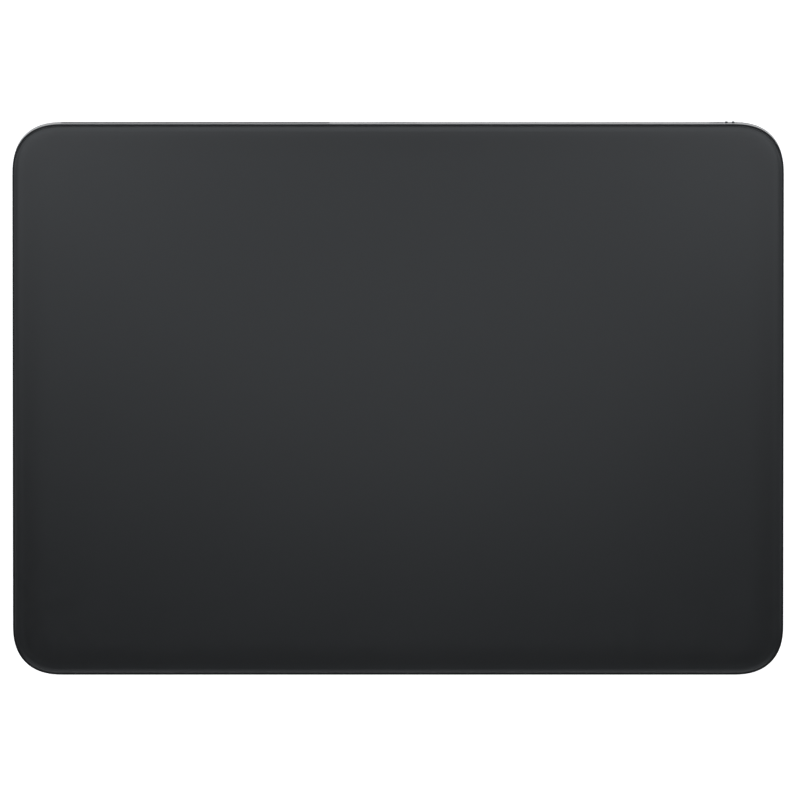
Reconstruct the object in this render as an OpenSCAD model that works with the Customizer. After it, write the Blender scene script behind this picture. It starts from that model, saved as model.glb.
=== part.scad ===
// Desktop multi-touch trackpad: wedge enclosure, moving glass plate on four
// flexures, lateral haptic actuator, sliding power switch.
// +X right, +Y rear, +Z up, millimetres. Origin under the middle, on the desk.

/* [Envelope] */
// overall width
body_w = 160; // [120:0.1:200]
// overall depth
body_d = 114.9; // [90:0.1:140]
// height of the glass at the rear edge
h_rear = 10.9; // [8:0.1:14]
// height of the glass at the front edge
h_front = 4.9; // [4.6:0.1:7]
// plan corner radius
corner_r = 9; // [6:0.1:14]

/* [Enclosure] */
// side and front wall thickness
wall = 1.8; // [1.2:0.1:2.5]
// rear wall thickness
wall_rear = 2.2; // [1.6:0.1:3]
// floor thickness
floor_t = 0.7; // [0.5:0.05:1.2]
// size of the lower edge rounding
lower_edge = 1.2; // [0.6:0.1:1.6]
// height the feet hold the shell above the desk
foot_out = 0.5; // [0.3:0.05:1]
// depth of the underside recess for the cover
cover_recess = 0.6; // [0.4:0.05:0.8]
// cover edge distance from the outline
cover_inset = 4; // [3:0.1:8]
// foot diameter
foot_d = 8; // [5:0.1:12]
// foot centre distance from the middle, across
foot_x = 66; // [50:0.5:70]
// foot centre distance from the middle, in depth
foot_y = 44; // [30:0.5:48]

/* [Glass stack] */
// glass edge distance from the outline
glass_inset = 0.4; // [0.3:0.05:1.5]
// glass thickness
glass_t = 1; // [0.7:0.05:1.4]
// open line between the glass and the rim
rim_gap = 0.35; // [0.25:0.05:0.6]
// adhesive film thickness
film_t = 0.1; // [0.05:0.01:0.2]
// sensor board thickness
sensor_t = 0.6; // [0.4:0.05:0.8]
// stiffener plate thickness
stiff_t = 0.5; // [0.4:0.05:0.8]

/* [Press flexures] */
// leaf thickness
leaf_t = 0.3; // [0.2:0.05:0.5]
// leaf width
leaf_w = 13; // [9:0.5:16]
// leaf length
leaf_l = 22; // [16:0.5:26]
// length of each end pad
pad_l = 6; // [4:0.5:8]
// width of each bending leg
leg_w = 3; // [1.5:0.1:4]
// centre of the leaves, across
leaf_x = 68.5; // [64:0.5:70]
// isolator height
iso_h = 0.4; // [0.3:0.05:0.8]
// stud flange height
stud_h = 0.2; // [0.15:0.05:0.4]

/* [Haptic actuator] */
// front end of the actuator, along the glass
hap_v0 = 46.5; // [44:0.5:50]
// air gap at each pole
pole_gap = 0.4; // [0.3:0.05:0.8]
// armature bar thickness
arm_w = 4; // [3:0.1:6]

/* [Charging port] */
// height of the port centre
port_z = 4.7; // [4.2:0.1:6]
// outer width of the shell
port_w = 8.94; // [8.5:0.01:9.2]
// outer height of the shell
port_h = 3.26; // [3:0.01:3.5]
// shell wall
port_t = 0.3; // [0.2:0.01:0.4]
// shell length
port_l = 7.3; // [6:0.1:9]

/* [Power switch] */
// knob centre at rest
knob_x = 68.8; // [60:0.1:69]
// knob travel towards the middle
knob_travel = 2.6; // [1.5:0.1:4]
// knob length
knob_l = 2.9; // [2:0.1:4]
// knob height
knob_h = 1.7; // [1.2:0.1:2.4]
// distance between the two ridges
ridge_pitch = 1.42; // [1:0.02:2]
// how far the ridges stand out of the rear wall
ridge_out = 0.28; // [0:0.01:0.4]

/* [Antenna window] */
// left end of the plastic window in the rear wall
win_x0 = -70; // [-70.5:0.1:-40]
// right end of the window
win_x1 = -14.2; // [-30:0.1:-8]
// window height
win_h = 5; // [3.6:0.1:5.4]
// corner radius of the window
win_r = 1.2; // [0.6:0.1:1.8]
// thickness of the window outside its ledge
win_t = 1.2; // [0.8:0.1:1.6]

/* [Battery] */
// cell width
cell_w = 118; // [60:1:118]
// cell depth
cell_d = 29; // [20:0.5:29]
// cell thickness
cell_t = 4.3; // [3:0.1:4.4]

/* [Hidden] */
$fn = 64;
slope = atan((h_rear - h_front) / body_d);
slope_l = body_d / cos(slope);
zb = foot_out;                       // lower face of the shell
zr = zb + cover_recess;              // roof of the underside recess
zf = zr + floor_t;                   // inner floor
w_rim = -glass_t - rim_gap;          // rim plane, measured from the glass face
w_film = -glass_t - film_t;
w_sensor = w_film - sensor_t;
w_stiff = w_sensor - stiff_t;        // underside of the stiffener
w_iso = w_stiff - iso_h;
w_stud = w_iso - stud_h;             // top of the leaves
w_leaf = w_stud - leaf_t;            // underside of the leaves
in_x = body_w / 2 - wall;
in_y0 = -body_d / 2 + wall;
in_y1 = body_d / 2 - wall_rear;
in_r = corner_r - wall;
front_v = 8;                         // fixed end of the front leaves
rear_v = 92;                         // fixed end of the rear leaves
boss_ext = 4.4;
cell_y0 = 18.5;
hap_l = 23;
hap_vm = hap_v0 + hap_l / 2;
w_core1 = w_stiff - 1.0;
w_core0 = w_core1 - 1.6;
w_coil1 = w_core1 + 0.35;
w_coil0 = w_core0 - 0.35;
w_brk = w_coil0 - 0.3;
board_z = 2.1;
board_t = 0.6;
board_top = board_z + board_t;
port_bt = port_z - port_h / 2;       // top of the port board
port_y1 = body_d / 2 - 0.03;         // shell mouth, just inside the rear face
port_y0 = port_y1 - port_l;
knob_z = port_z;
slot_x0 = knob_x - knob_l / 2 - knob_travel - 0.2;
slot_x1 = knob_x + knob_l / 2 + 0.2;
sw_z0 = 3.2;

// ---------------------------------------------------------------- helpers

// box from two corners
module bx(x0, x1, y0, y1, z0, z1)
    translate([x0, y0, z0]) cube([x1 - x0, y1 - y0, z1 - z0]);

// flat rounded rectangle from two corners
module rr(x0, x1, y0, y1, r) {
    translate([x0 + r, y0]) square([x1 - x0 - 2 * r, y1 - y0]);
    translate([x0, y0 + r]) square([x1 - x0, y1 - y0 - 2 * r]);
    for (x = [x0 + r, x1 - r], y = [y0 + r, y1 - r])
        translate([x, y]) circle(r);
}

// rounded slab from two corners
module slab(x0, x1, y0, y1, r, z0, z1)
    translate([0, 0, z0]) linear_extrude(height = z1 - z0) rr(x0, x1, y0, y1, r);

// flat slot shape centred on the origin
module pill2(l, h) {
    square([l - h, h], center = true);
    for (s = [-1, 1]) translate([s * (l - h) / 2, 0]) circle(h / 2);
}

// slot shape standing up, running along Y
module pill_y(x, z, l, h, y0, y1)
    translate([x, y1, z]) rotate([90, 0, 0])
        linear_extrude(height = y1 - y0) pill2(l, h);

// antenna window outline standing up, drawn in by m, running along Y
module win_y(m, r, y0, y1)
    translate([0, y1, 0]) rotate([90, 0, 0]) linear_extrude(height = y1 - y0)
        rr(win_x0 + m, win_x1 - m, port_z - win_h / 2 + m, port_z + win_h / 2 - m, r);

// frame of the glass: front edge at v = 0, glass face at w = 0
module on_slope()
    translate([0, -body_d / 2, h_front]) rotate([slope, 0, 0]) children();

// wall profile strip, swept along an edge or round a corner
function wall_profile(r, top) = [[0, zb], [r - lower_edge, zb],
    [r - 0.29 * lower_edge, zb + 0.29 * lower_edge], [r, zb + lower_edge],
    [r, top], [0, top]];

// screw along +Z with its head seat at z = 0
module screw(d, len, hd, hh) {
    difference() {
        cylinder(d = hd, h = hh);
        translate([0, 0, hh])
            for (a = [0, 90]) rotate([0, 0, a])
                cube([hd * 0.6, hd * 0.16, hh * 0.9], center = true);
    }
    translate([0, 0, -len]) cylinder(d = d, h = len);
}

// strip of constant thickness along a path in a vertical plane
module strip(pts, t) {
    n = len(pts);
    polygon(concat(pts, [for (i = [n - 1:-1:0]) pts[i] + [0, t]]));
}

module leaf_places() {
    for (s = [-1, 1]) {
        translate([s * leaf_x, front_v, 0]) children();
        translate([s * leaf_x, rear_v, 0]) mirror([0, 1, 0]) children();
    }
}

// ---------------------------------------------------------------- shell

module outer_block() {
    cx = body_w / 2 - corner_r;
    cy = body_d / 2 - corner_r;
    top = h_rear + 1;
    prof = wall_profile(corner_r, top);
    translate([-cx, -cy, zb]) cube([2 * cx, 2 * cy, top - zb]);
    for (s = [-1, 1]) {
        scale_x(s) translate([cx, cy, 0]) rotate([90, 0, 0])
            linear_extrude(height = 2 * cy) polygon(prof);
        scale_y(s) translate([-cx, cy, 0]) rotate([90, 0, 90])
            linear_extrude(height = 2 * cx) polygon(prof);
        for (t = [-1, 1]) scale_x(s) scale_y(t)
            translate([cx, cy, 0]) rotate_extrude(angle = 90) polygon(prof);
    }
}

module scale_x(s) mirror([s < 0 ? 1 : 0, 0, 0]) children();
module scale_y(s) mirror([0, s < 0 ? 1 : 0, 0]) children();

// post from the floor to a height under the glass
module post(x, v, d, w) {
    intersection() {
        translate([x, v * cos(slope) - body_d / 2, zf - 0.3]) cylinder(d = d, h = 9);
        on_slope() translate([-90, -5, w - 12]) cube([180, 130, 12]);
    }
}

module enclosure() {
    color([0.14, 0.145, 0.15]) difference() {
        union() {
            difference() {
                outer_block();
                // inside
                slab(-in_x, in_x, in_y0, in_y1, in_r, zf, h_rear + 3);
                // slanted rim plane
                on_slope() translate([-90, -8, w_rim]) cube([180, 132, 12]);
            }
            // blocks under the fixed ends of the leaves and the limit pads
            intersection() {
                on_slope() leaf_places()
                    translate([-leaf_w / 2, -boss_ext, w_leaf - 7])
                        cube([leaf_w, boss_ext + pad_l, 7]);
                translate([-in_x + 0.5, in_y0 + 0.2, zf - 0.3])
                    cube([2 * in_x - 1, in_y1 - in_y0 - 0.4, 10]);
            }
            // posts under the haptic bracket
            for (s = [-1, 1], v = [hap_v0 + 4, hap_v0 + 19])
                post(s * 21, v, 4.4, w_brk);
            // logic board posts
            for (p = [[-43, -41], [43, -41], [-43, -20], [43, -20]])
                translate([p[0], p[1], zf - 0.3]) cylinder(d = 4, h = board_z - zf + 0.3);
            // port board posts
            for (s = [-1, 1]) translate([s * 9, 51, zf - 0.3])
                cylinder(d = 3.6, h = port_bt - 0.6 - zf + 0.3);
            // switch board post
            translate([60.2, 51.6, zf - 0.3]) cylinder(d = 3.4, h = sw_z0 - 0.5 - zf + 0.3);
            bx(64, 69, 50.4, 53, zf - 0.3, sw_z0 - 0.5);
        }
        // underside recess
        slab(-body_w / 2 + cover_inset - 0.1, body_w / 2 - cover_inset + 0.1,
            -body_d / 2 + cover_inset - 0.1, body_d / 2 - cover_inset + 0.1,
            corner_r - cover_inset + 0.1, zb - 1, zr);
        // port opening
        pill_y(0, port_z, port_w + 0.12, port_h + 0.12, in_y1 - 1, body_d / 2 + 1);
        // switch slot
        pill_y((slot_x0 + slot_x1) / 2, knob_z, slot_x1 - slot_x0, knob_h + 0.3,
            in_y1 - 0.5, body_d / 2 + 1);
        // antenna window: pocket in the rear face, smaller opening behind it
        win_y(0, win_r, body_d / 2 - win_t, body_d / 2 + 1);
        win_y(1, 0.63, in_y1 - 0.5, body_d / 2 - win_t + 0.3);
        // threads
        on_slope() {
            leaf_places() for (s = [-1, 1])
                translate([s * 4, pad_l / 2, w_leaf - 1.05]) cylinder(d = 1.6, h = 1.6);
            for (s = [-1, 1], v = [hap_v0 + 4, hap_v0 + 19])
                translate([s * 21, v, w_brk - 0.85]) cylinder(d = 1.4, h = 1.4);
        }
        for (p = [[-43, -41], [43, -41], [-43, -20], [43, -20]])
            translate([p[0], p[1], board_z - 0.8]) cylinder(d = 1.4, h = 2);
        for (s = [-1, 1]) translate([s * 9, 51, port_bt - 0.6 - 1]) cylinder(d = 1.4, h = 2);
        translate([60.2, 51.6, sw_z0 - 0.5 - 1.2]) cylinder(d = 1.4, h = 2);
    }
}

module bottom_cover() {
    color([0.16, 0.16, 0.165]) difference() {
        slab(-body_w / 2 + cover_inset, body_w / 2 - cover_inset,
            -body_d / 2 + cover_inset, body_d / 2 - cover_inset,
            corner_r - cover_inset, zb, zr - film_t);
        for (x = [-1, 1], y = [-1, 1]) translate([x * foot_x, y * foot_y, zb - 1])
            cylinder(d = foot_d + 0.2, h = 3);
    }
}

module cover_adhesive() {
    color([0.75, 0.74, 0.68]) difference() {
        slab(-body_w / 2 + cover_inset + 1, body_w / 2 - cover_inset - 1,
            -body_d / 2 + cover_inset + 1, body_d / 2 - cover_inset - 1,
            corner_r - cover_inset - 1, zr - film_t, zr);
        slab(-body_w / 2 + cover_inset + 17, body_w / 2 - cover_inset - 17,
            -body_d / 2 + cover_inset + 19, body_d / 2 - cover_inset - 19,
            4, zr - 1, zr + 1);
        for (x = [-1, 1], y = [-1, 1]) translate([x * foot_x, y * foot_y, zb - 1])
            cylinder(d = foot_d + 0.6, h = 3);
    }
}

module rubber_feet() {
    color([0.09, 0.09, 0.09])
        for (x = [-1, 1], y = [-1, 1]) translate([x * foot_x, y * foot_y, 0])
            rotate_extrude() polygon([[0, 0], [foot_d / 2 - 0.45, 0],
                [foot_d / 2 - 0.14, 0.1], [foot_d / 2, 0.42], [foot_d / 2, zr], [0, zr]]);
}

// ---------------------------------------------------------------- power

module battery_cell() {
    color([0.62, 0.63, 0.66]) {
        slab(-cell_w / 2, cell_w / 2, cell_y0, cell_y0 + cell_d, 2.2,
            zf + film_t + 0.35, zf + film_t + cell_t);
        slab(-cell_w / 2 + 0.6, cell_w / 2 - 0.6, cell_y0 + 0.6, cell_y0 + cell_d - 0.6, 1.6,
            zf + film_t, zf + film_t + 0.35);
    }
}

module battery_adhesive() {
    color([0.9, 0.9, 0.86]) for (x = [-41, -6, 27])
        bx(x, x + 14, cell_y0 + 3, cell_y0 + cell_d - 3, zf, zf + film_t);
}

module battery_board() {
    color([0.1, 0.28, 0.2]) {
        bx(-4, 40, cell_y0 - 4.6, cell_y0 - 0.4, zf + 0.6, zf + 1.1);
        bx(6, 9, cell_y0 - 3.6, cell_y0 - 1.6, zf + 1.1, zf + 1.7);
        bx(12, 15, cell_y0 - 3.6, cell_y0 - 1.6, zf + 1.1, zf + 1.7);
        bx(20, 24, cell_y0 - 3.8, cell_y0 - 1.4, zf + 1.1, zf + 1.6);
        // cell tabs reach back to the cell from the board
        bx(-3, 1, cell_y0 - 2.4, cell_y0, zf + 1.1, zf + 1.3);
        bx(30, 34, cell_y0 - 2.4, cell_y0, zf + 1.1, zf + 1.3);
        // foam foot under the board
        bx(-2, 26, cell_y0 - 4, cell_y0 - 1, zf, zf + 0.6);
    }
}

module battery_lead() {
    color([0.72, 0.45, 0.14]) translate([30, 0, 0]) rotate([90, 0, 90])
        linear_extrude(height = 6) strip([[cell_y0 - 1.4, zf + 0.45], [cell_y0 - 5, zf + 0.45],
            [cell_y0 - 6.2, zf + 0.02], [-12, zf + 0.02], [-14.6, board_top + 0.8],
            [-16.5, board_top + 0.9], [-21.4, board_top + 0.9]], 0.14);
}

// ---------------------------------------------------------------- logic board

module logic_board() {
    color([0.07, 0.2, 0.15]) difference() {
        slab(-46, 46, -44, -17, 1.5, board_z, board_top);
        for (p = [[-43, -41], [43, -41], [-43, -20], [43, -20]])
            translate([p[0], p[1], 0]) cylinder(d = 1.7, h = 6);
        slab(-6, 6, -20, -14, 1, board_z - 1, board_top + 1);
    }
}

module microcontroller_chip()
    color([0.08, 0.08, 0.085]) bx(-12, -5, -35, -28, board_top, board_top + 0.6);

module radio_chip()
    color([0.1, 0.1, 0.11]) bx(-31, -26, -30, -25, board_top, board_top + 0.55);

module charging_chip()
    color([0.08, 0.08, 0.09]) bx(2, 6, -33, -29, board_top, board_top + 0.6);

module shield_can() {
    color([0.7, 0.71, 0.72]) difference() {
        slab(-36, -20, -31, -19, 0.6, board_top, board_top + 0.9);
        slab(-35.85, -20.15, -30.85, -19.15, 0.45, board_top - 1, board_top + 0.75);
        for (x = [-33:3:-23], y = [-28:3:-21])
            translate([x, y, board_top]) cylinder(d = 0.9, h = 2);
    }
}

module board_connectors() {
    color([0.85, 0.82, 0.74]) {
        bx(29.5, 36.5, -21.6, -18.6, board_top, board_top + 0.9);
        bx(-18, -11, -21.6, -18.6, board_top, board_top + 0.9);
        bx(11.5, 18.5, -21.6, -18.6, board_top, board_top + 0.9);
        bx(17, 31, -31, -28, board_top, board_top + 0.75);
        translate([-38.4, -36, board_top]) difference() {
            cylinder(d = 2, h = 0.5);
            translate([0, 0, 0.2]) cylinder(d = 1.2, h = 1);
        }
    }
}

module board_screws()
    color([0.66, 0.66, 0.68]) for (p = [[-43, -41], [43, -41], [-43, -20], [43, -20]])
        translate([p[0], p[1], board_top]) screw(1.3, 1.3, 2.6, 0.35);

module touch_flex()
    color([0.78, 0.52, 0.16]) translate([18, 0, 0]) rotate([90, 0, 90])
        linear_extrude(height = 12) strip([[-17.9, 4.33], [-22, 4.1], [-23.2, 3.9],
            [-25.4, 3.56], [-26.6, 3.46], [-30.8, 3.46]], 0.12);

// ---------------------------------------------------------------- charging port

module port_shell()
    color([0.72, 0.72, 0.73]) difference() {
        pill_y(0, port_z, port_w, port_h, port_y0, port_y1);
        pill_y(0, port_z, port_w - 2 * port_t, port_h - 2 * port_t, port_y0 - 1, port_y1 + 1);
    }

module port_insulator()
    color([0.06, 0.06, 0.065]) {
        pill_y(0, port_z, port_w - 2 * port_t - 0.04, port_h - 2 * port_t - 0.04, port_y0, port_y0 + 1.6);
        bx(-3.345, 3.345, port_y0 + 1.6, port_y0 + 6.2, port_z - 0.35, port_z + 0.35);
    }

module port_contacts()
    color([0.83, 0.66, 0.3]) for (i = [-5.5:1:5.5], s = [-1, 1])
        translate([i * 0.5 - 0.13, port_y0 + 1.6, port_z + (s > 0 ? 0.35 : -0.4)])
            cube([0.26, 3.9, 0.05]);

module port_board()
    color([0.07, 0.2, 0.15]) difference() {
        bx(-14.5, 14.5, 48.3, 54.9, port_bt - 0.6, port_bt);
        for (s = [-1, 1]) translate([s * 9, 51, 0]) cylinder(d = 1.6, h = 8);
    }

module port_bracket()
    color([0.66, 0.67, 0.69]) difference() {
        union() {
            bx(-port_w / 2 - 0.55, port_w / 2 + 0.55, 50.2, 54.4, port_bt + port_h, port_bt + port_h + 0.4);
            for (s = [-1, 1]) scale_x(s) {
                bx(port_w / 2 + 0.15, port_w / 2 + 0.55, 50.2, 54.4, port_bt, port_bt + port_h + 0.4);
                bx(port_w / 2 + 0.15, 10.8, 49.2, 52.8, port_bt, port_bt + 0.4);
            }
        }
        for (s = [-1, 1]) translate([s * 9, 51, 0]) cylinder(d = 1.6, h = 9);
    }

module port_screws()
    color([0.66, 0.66, 0.68]) for (s = [-1, 1])
        translate([s * 9, 51, port_bt + 0.4]) screw(1.3, 1.9, 2.6, 0.5);

module port_flex()
    color([0.72, 0.45, 0.14]) {
        // from the port board sideways, then forward under the cell edge strip
        translate([0, 53.8, 0]) rotate([90, 0, 0]) linear_extrude(height = 4)
            strip([[-11.2, port_bt - 0.75], [-15.2, port_bt - 0.75], [-16.6, zf + 0.02],
                [-61.7, zf + 0.02]], 0.14);
        bx(-61.7, -59.4, -14, 53.8, zf + 0.02, zf + 0.16);
        bx(-61.7, -12, -16.4, -13.4, zf + 0.02, zf + 0.16);
        translate([-17.5, 0, 0]) rotate([90, 0, 90]) linear_extrude(height = 6)
            strip([[-13.6, zf + 0.02], [-14.4, zf + 0.02], [-15.6, board_top + 0.8], [-16.6, board_top + 0.9],
                [-21.4, board_top + 0.9]], 0.14);
    }

// ---------------------------------------------------------------- power switch

module switch_backplate()
    color([0.07, 0.07, 0.075]) difference() {
        bx(62.6, 71.3, 54.6, in_y1, knob_z - 1.9, knob_z + 1.9);
        bx(knob_x - 0.5 - knob_travel - 0.2, knob_x + 0.7, 54, 56, knob_z - 0.35, knob_z + 0.35);
        bx(67.6, 70.6, in_y1 - 0.1, 56, knob_z - 1, knob_z + 1);
    }

module on_indicator()
    color([0.2, 0.75, 0.3]) difference() {
        bx(67.6, 70.6, in_y1 - 0.1, in_y1 - 0.02, knob_z - 1, knob_z + 1);
        bx(67, knob_x + 0.7, 54, 56, knob_z - 0.35, knob_z + 0.35);
    }

module switch_can()
    color([0.72, 0.72, 0.73]) difference() {
        bx(62.8, 71, 50.6, 53.9, sw_z0, knob_z + 1.5);
        bx(knob_x - 1 - knob_travel - 0.2, knob_x + 1.2, 51.7, 55, knob_z - 0.7, knob_z + 0.7);
    }

module switch_board()
    color([0.07, 0.2, 0.15]) difference() {
        bx(55, 71.2, 49.6, 54.3, sw_z0 - 0.5, sw_z0);
        translate([60.2, 51.6, 0]) cylinder(d = 1.6, h = 8);
    }

module switch_screw()
    color([0.66, 0.66, 0.68]) translate([60.2, 51.6, sw_z0]) screw(1.3, 1.5, 2.6, 0.5);

module switch_flex()
    color([0.72, 0.45, 0.14]) translate([0, 53.6, 0]) rotate([90, 0, 0])
        linear_extrude(height = 3)
            strip([[58.2, sw_z0 - 0.65], [54.4, sw_z0 - 0.65], [52.6, zf + 0.02], [16.6, zf + 0.02],
                [15.2, port_bt - 0.75], [11.2, port_bt - 0.75]], 0.14);

module switch_knob()
    color([0.11, 0.11, 0.115]) {
        difference() {
            pill_y(knob_x, knob_z, knob_l, knob_h, in_y1 + 0.2, body_d / 2 - 0.02);
            // finger dish between the ridges
            translate([knob_x, body_d / 2 + 0.83, knob_z]) cylinder(r = 0.92, h = 4, center = true);
        }
        for (s = [-1, 1])
            bx(knob_x + s * ridge_pitch / 2 - 0.28, knob_x + s * ridge_pitch / 2 + 0.28,
                body_d / 2 - 0.4, body_d / 2 + ridge_out, knob_z - 0.62, knob_z + 0.62);
        bx(knob_x - 0.5, knob_x + 0.5, 53.0, in_y1 + 0.4, knob_z - 0.2, knob_z + 0.2);
    }

module switch_plunger()
    color([0.8, 0.8, 0.78]) difference() {
        bx(knob_x - 0.9, knob_x + 0.9, 51.9, 54.4, knob_z - 0.55, knob_z + 0.55);
        bx(knob_x - 0.52, knob_x + 0.52, 52.8, 55, knob_z - 0.22, knob_z + 0.22);
    }

// ---------------------------------------------------------------- antenna

// plastic insert, flush with the rear face, with a step through the wall
module antenna_window()
    color([0.1, 0.1, 0.105]) {
        win_y(0.03, win_r - 0.03, body_d / 2 - win_t, body_d / 2);
        win_y(1.03, 0.6, in_y1, body_d / 2 - win_t + 0.3);
    }

// plate against the wall behind the window, with a ribbed shelf for the trace
module antenna_carrier()
    color([0.12, 0.12, 0.125]) {
        bx(-66, -18, in_y1 - 0.9, in_y1, 2.5, 6.9);
        bx(-62, -22, in_y1 - 2.65, in_y1 - 0.6, 6.1, 6.9);
        for (x = [-61.6, -51.8, -42.4, -33, -23.2])
            bx(x, x + 0.8, in_y1 - 2.35, in_y1 - 0.6, 4.4, 6.3);
    }

module antenna_trace()
    color([0.8, 0.55, 0.25]) {
        bx(-61.6, -22.4, in_y1 - 0.9, in_y1 - 0.3, 6.9, 7);
        bx(-61.6, -60.8, in_y1 - 2.4, in_y1 - 0.3, 6.9, 7);
        bx(-55.4, -54.6, in_y1 - 2.4, in_y1 - 0.3, 6.9, 7);
        bx(-55.4, -38, in_y1 - 2.4, in_y1 - 1.8, 6.9, 7);
    }

// straight run that goes a little past each end, so that runs join at the bends
module coax_run(p, q, d) {
    v = q - p;
    l = norm(v);
    translate(p) rotate([0, acos(v[2] / l), atan2(v[1], v[0])])
        translate([0, 0, -0.12]) cylinder(d = d, h = l + 0.24, $fn = 10);
}

module antenna_coax() {
    // from the trace's feed end, down past the shelf, forward beside the cell
    pts = [[-61.2, in_y1 - 2, 7.32], [-62.9, in_y1 - 2, 7.25], [-63.6, in_y1 - 2.6, 5.2],
        [-63, in_y1 - 3.6, 3], [-60.55, in_y1 - 6.6, 2.3], [-60.55, -11.5, 2.3],
        [-50.5, -33, 2.3], [-48.2, -35.4, 2.7], [-46.4, -36, 3.14], [-39.55, -36, 3.14]];
    color([0.2, 0.2, 0.21]) {
        for (i = [0:len(pts) - 2]) coax_run(pts[i], pts[i + 1], 0.6);
        translate([-38.4, -36, board_top + 0.5]) cylinder(d = 2.6, h = 0.22);
    }
}

// ---------------------------------------------------------------- haptic actuator

module haptic_bracket()
    color([0.6, 0.61, 0.63]) on_slope() difference() {
        union() {
            bx(-18.5, 18.5, hap_v0, hap_v0 + hap_l, w_brk, w_coil0);
            for (v = [hap_v0 + 4, hap_v0 + 19]) slab(-24, 24, v - 2.6, v + 2.6, 2, w_brk, w_coil0);
            for (s = [-1, 1]) scale_x(s) {
                bx(13, 16, hap_v0 + 1, hap_v0 + hap_l - 1, w_coil0, w_core0);
                bx(4, 13, hap_v0 + 1, hap_v0 + 4, w_coil0, w_core0);
                bx(4, 13, hap_v0 + hap_l - 4, hap_v0 + hap_l - 1, w_coil0, w_core0);
            }
        }
        for (s = [-1, 1], v = [hap_v0 + 4, hap_v0 + 19])
            translate([s * 21, v, w_brk - 1]) cylinder(d = 1.7, h = 3);
        bx(-4, 4, hap_v0 + 7, hap_v0 + hap_l - 7, w_brk - 1, w_coil0 + 1);
    }

module haptic_cores()
    color([0.46, 0.47, 0.49]) on_slope() for (s = [-1, 1]) scale_x(s) {
        pole = arm_w / 2 + pole_gap;
        bx(13, 16, hap_v0 + 1, hap_v0 + hap_l - 1, w_core0, w_core1);
        bx(pole, 13, hap_v0 + 1, hap_v0 + 4, w_core0, w_core1);
        bx(pole, 13, hap_v0 + hap_l - 4, hap_v0 + hap_l - 1, w_core0, w_core1);
        bx(pole, 13, hap_vm - 3, hap_vm + 3, w_core0, w_core1);
    }

module haptic_coils()
    color([0.72, 0.36, 0.16]) on_slope() for (s = [-1, 1]) scale_x(s) difference() {
        bx(3.6, 12.7, hap_vm - 6.7, hap_vm + 6.7, w_coil0, w_coil1);
        bx(3, 13, hap_vm - 3.05, hap_vm + 3.05, w_core0 - 0.05, w_core1 + 0.05);
    }

module haptic_screws()
    color([0.66, 0.66, 0.68]) on_slope()
        for (s = [-1, 1], v = [hap_v0 + 4, hap_v0 + 19])
            translate([s * 21, v, w_coil0]) screw(1.3, 1.05, 2.8, 0.45);

module haptic_lead()
    color([0.72, 0.45, 0.14]) {
        translate([16.2, 0, 0]) rotate([90, 0, 90]) linear_extrude(height = 2.1)
            strip([[-1, 2.72], [-10.8, 2.21], [-12, zf + 0.02], [-14, zf + 0.02],
                [-15.2, board_top + 0.8], [-16.4, board_top + 0.9],
                [-21.4, board_top + 0.9]], 0.14);
    }

module armature()
    color([0.5, 0.51, 0.53]) on_slope()
        bx(-arm_w / 2, arm_w / 2, hap_v0 + 1, hap_v0 + hap_l - 1, w_core0, w_stiff - 0.5);

module armature_carrier()
    color([0.68, 0.69, 0.71]) on_slope() difference() {
        slab(-3, 3, hap_v0 - 2.5, hap_v0 + hap_l + 2.5, 1, w_stiff - 0.5, w_stiff);
        for (v = [hap_v0 - 0.9, hap_v0 + hap_l + 0.9])
            translate([0, v, w_stiff - 2]) cylinder(d = 1.5, h = 4);
    }

module armature_screws()
    color([0.66, 0.66, 0.68]) on_slope()
        for (v = [hap_v0 - 0.9, hap_v0 + hap_l + 0.9])
            translate([0, v, w_stiff - 0.5]) rotate([180, 0, 0]) screw(1.3, 0.95, 2.6, 0.4);

// ---------------------------------------------------------------- press flexures

module flexure_springs()
    color([0.74, 0.75, 0.76]) on_slope() leaf_places() difference() {
        bx(-leaf_w / 2, leaf_w / 2, 0, leaf_l, w_leaf, w_stud);
        slab(-leaf_w / 2 + leg_w, leaf_w / 2 - leg_w, pad_l, leaf_l - pad_l, 1.2,
            w_leaf - 1, w_stud + 1);
        for (s = [-1, 1]) translate([s * 4, pad_l / 2, w_leaf - 1]) cylinder(d = 1.8, h = 3);
        translate([0, leaf_l - pad_l / 2, w_leaf - 1]) cylinder(d = 2.04, h = 3);
    }

module force_gauges()
    color([0.82, 0.6, 0.2]) on_slope() leaf_places() for (s = [-1, 1])
        translate([s * (leaf_w - leg_w) / 2, pad_l + 1.4, w_stud])
            translate([-1.1, -1.3, 0]) cube([2.2, 2.6, 0.08]);

module flexure_screws()
    color([0.66, 0.66, 0.68]) on_slope() leaf_places() for (s = [-1, 1])
        translate([s * 4, pad_l / 2, w_stud]) screw(1.5, 1.25, 3, 0.4);

module limit_pads()
    color([0.13, 0.13, 0.13]) on_slope() leaf_places()
        bx(-4, 4, -boss_ext + 0.6, -0.8, w_leaf, w_stiff - 0.25);

module flexure_studs()
    color([0.7, 0.7, 0.72]) on_slope() leaf_places()
        translate([0, leaf_l - pad_l / 2, 0]) {
            translate([0, 0, w_stud]) cylinder(d = 5, h = stud_h);
            translate([0, 0, w_leaf]) cylinder(d = 2, h = leaf_t);
            translate([0, 0, w_leaf - 0.2]) cylinder(d = 4, h = 0.2);
        }

module isolators()
    color([0.32, 0.33, 0.35]) on_slope() leaf_places()
        translate([0, leaf_l - pad_l / 2, w_iso]) cylinder(d = 5, h = iso_h);

// ---------------------------------------------------------------- moving plate

module glass_top()
    color([0.06, 0.062, 0.066]) on_slope()
        slab(-body_w / 2 + glass_inset, body_w / 2 - glass_inset,
            glass_inset, slope_l - glass_inset, corner_r - glass_inset, -glass_t, 0);

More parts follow.
